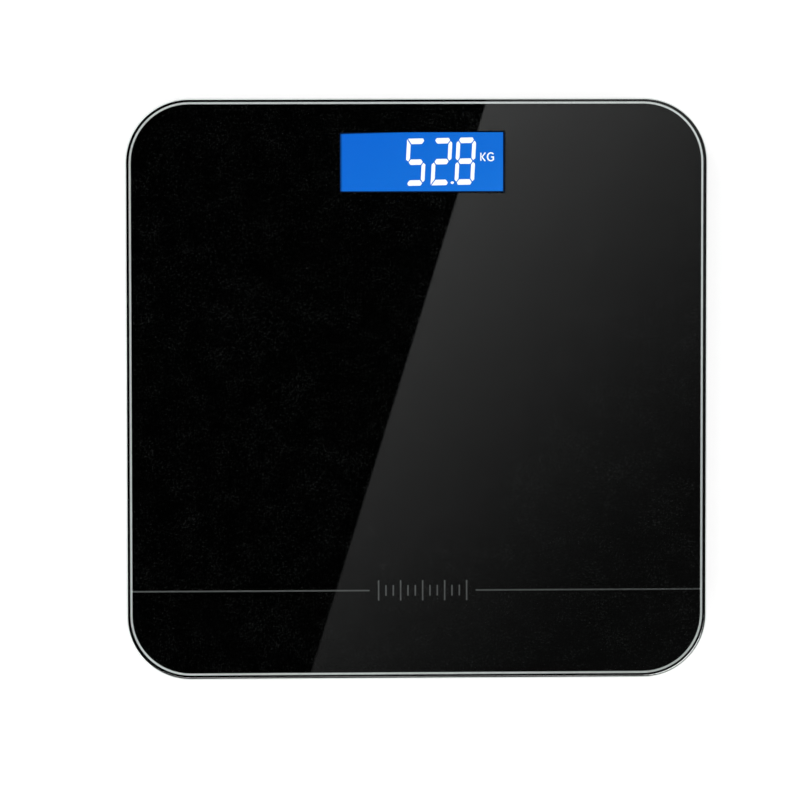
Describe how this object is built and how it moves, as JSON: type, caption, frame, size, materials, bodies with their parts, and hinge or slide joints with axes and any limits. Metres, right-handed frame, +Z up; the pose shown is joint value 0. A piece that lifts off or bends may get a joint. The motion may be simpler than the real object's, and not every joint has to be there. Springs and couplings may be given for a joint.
{
  "type": "digital bathroom scale",
  "caption": "Square glass digital bathroom scale with rounded corners, black back print, silver border line, blue display window, round weighing feet and a hinged battery door.",
  "frame": {"origin": "on the floor under the middle of the glass platform", "axes": "+Z up out of the glass, +Y towards the end with the display, -Y towards the user, +X to the right"},
  "size_m": [0.3, 0.3, 0.025],
  "materials": {
    "glass": "clear tempered glass, polished, ground edges",
    "silver_ink": "silver screen print",
    "black_ink": "black screen print",
    "tape": "white foam tape",
    "housing": "pale grey moulded ABS with a fine texture",
    "rubber_pad": "moulded grooved rubber",
    "cell_steel": "nickel-plated spring steel",
    "screw_steel": "zinc-plated steel",
    "silicone": "white silicone seal",
    "red_wire": "red PVC insulation",
    "white_wire": "white PVC insulation",
    "black_wire": "black PVC insulation",
    "board": "green solder mask",
    "module_board": "blue solder mask",
    "epoxy": "black epoxy",
    "tin": "tinned steel",
    "capacitor": "tan ceramic",
    "resistor": "black chip",
    "switch_body": "black moulded switch",
    "switch_stem": "pale moulded stem",
    "button": "mid grey moulded button",
    "holder": "white moulded holder",
    "guide": "clear acrylic",
    "lamp": "white lamp with yellow gel",
    "lcd_glass": "thin display glass",
    "polariser": "blue backlit film",
    "zebra": "pink layered rubber",
    "gasket": "black foam",
    "cell_sleeve": "plain printed sleeve",
    "spring_wire": "nickel-plated spring wire",
    "contact": "nickel-plated strip"
  },
  "bodies": {
    "platform": {"glass_platform": "glass", "silver_print": "silver_ink", "black_print": "black_ink", "bonding_tape": "tape", "carrier_frame": "housing", "bottom_cover": "housing", "cover_screws": "screw_steel", "gauge_seals": "silicone", "red_leads": "red_wire", "white_leads": "white_wire", "black_leads": "black_wire", "main_board": "board", "board_screws": "screw_steel", "sealed_chip": "epoxy", "wireless_module": "module_board", "module_shield": "tin", "crystal_can": "tin", "capacitors": "capacitor", "chip_resistors": "resistor", "unit_switch": "switch_body", "display_holder": "holder", "light_guide": "guide", "backlight_lamps": "lamp", "display_rear_glass": "lcd_glass", "display_front_glass": "lcd_glass", "polarisers": "polariser", "contact_strips": "zebra", "window_gasket": "gasket", "battery_1": "cell_sleeve", "battery_2": "cell_sleeve", "battery_3": "cell_sleeve", "battery_springs": "spring_wire", "battery_contacts": "contact", "battery_lead_positive": "red_wire", "battery_lead_negative": "black_wire", "load_cell_front_left": "cell_steel", "load_cell_front_right": "cell_steel", "load_cell_back_left": "cell_steel", "load_cell_back_right": "cell_steel"},
    "foot_front_left_body": {"foot_front_left": "housing", "foot_pad_front_left": "rubber_pad"},
    "foot_front_right_body": {"foot_front_right": "housing", "foot_pad_front_right": "rubber_pad"},
    "foot_back_left_body": {"foot_back_left": "housing", "foot_pad_back_left": "rubber_pad"},
    "foot_back_right_body": {"foot_back_right": "housing", "foot_pad_back_right": "rubber_pad"},
    "battery_cover": {"battery_door": "housing", "door_latch": "housing"},
    "button": {"unit_button": "button", "switch_plunger": "switch_stem"}
  },
  "joints": [
    {"name": "foot_drop_front_left", "type": "slide", "parent": "platform", "child": "foot_front_left_body", "axis": [0, 0, 1], "range_m": [-0.00028, 0]},
    {"name": "foot_drop_front_right", "type": "slide", "parent": "platform", "child": "foot_front_right_body", "axis": [0, 0, 1], "range_m": [-0.00028, 0]},
    {"name": "foot_drop_back_left", "type": "slide", "parent": "platform", "child": "foot_back_left_body", "axis": [0, 0, 1], "range_m": [-0.00028, 0]},
    {"name": "foot_drop_back_right", "type": "slide", "parent": "platform", "child": "foot_back_right_body", "axis": [0, 0, 1], "range_m": [-0.00028, 0]},
    {"name": "battery_door_hinge", "type": "hinge", "parent": "platform", "child": "battery_cover", "pos_m": [0, 0.01175, 0.004], "axis": [-1, 0, 0], "range_deg": [0, 90], "deforming": ["door_latch"]},
    {"name": "unit_button_press", "type": "slide", "parent": "platform", "child": "button", "axis": [0, 0, 1], "range_m": [0, 0.0003], "stiffness_N_per_m": 5000}
  ]
}
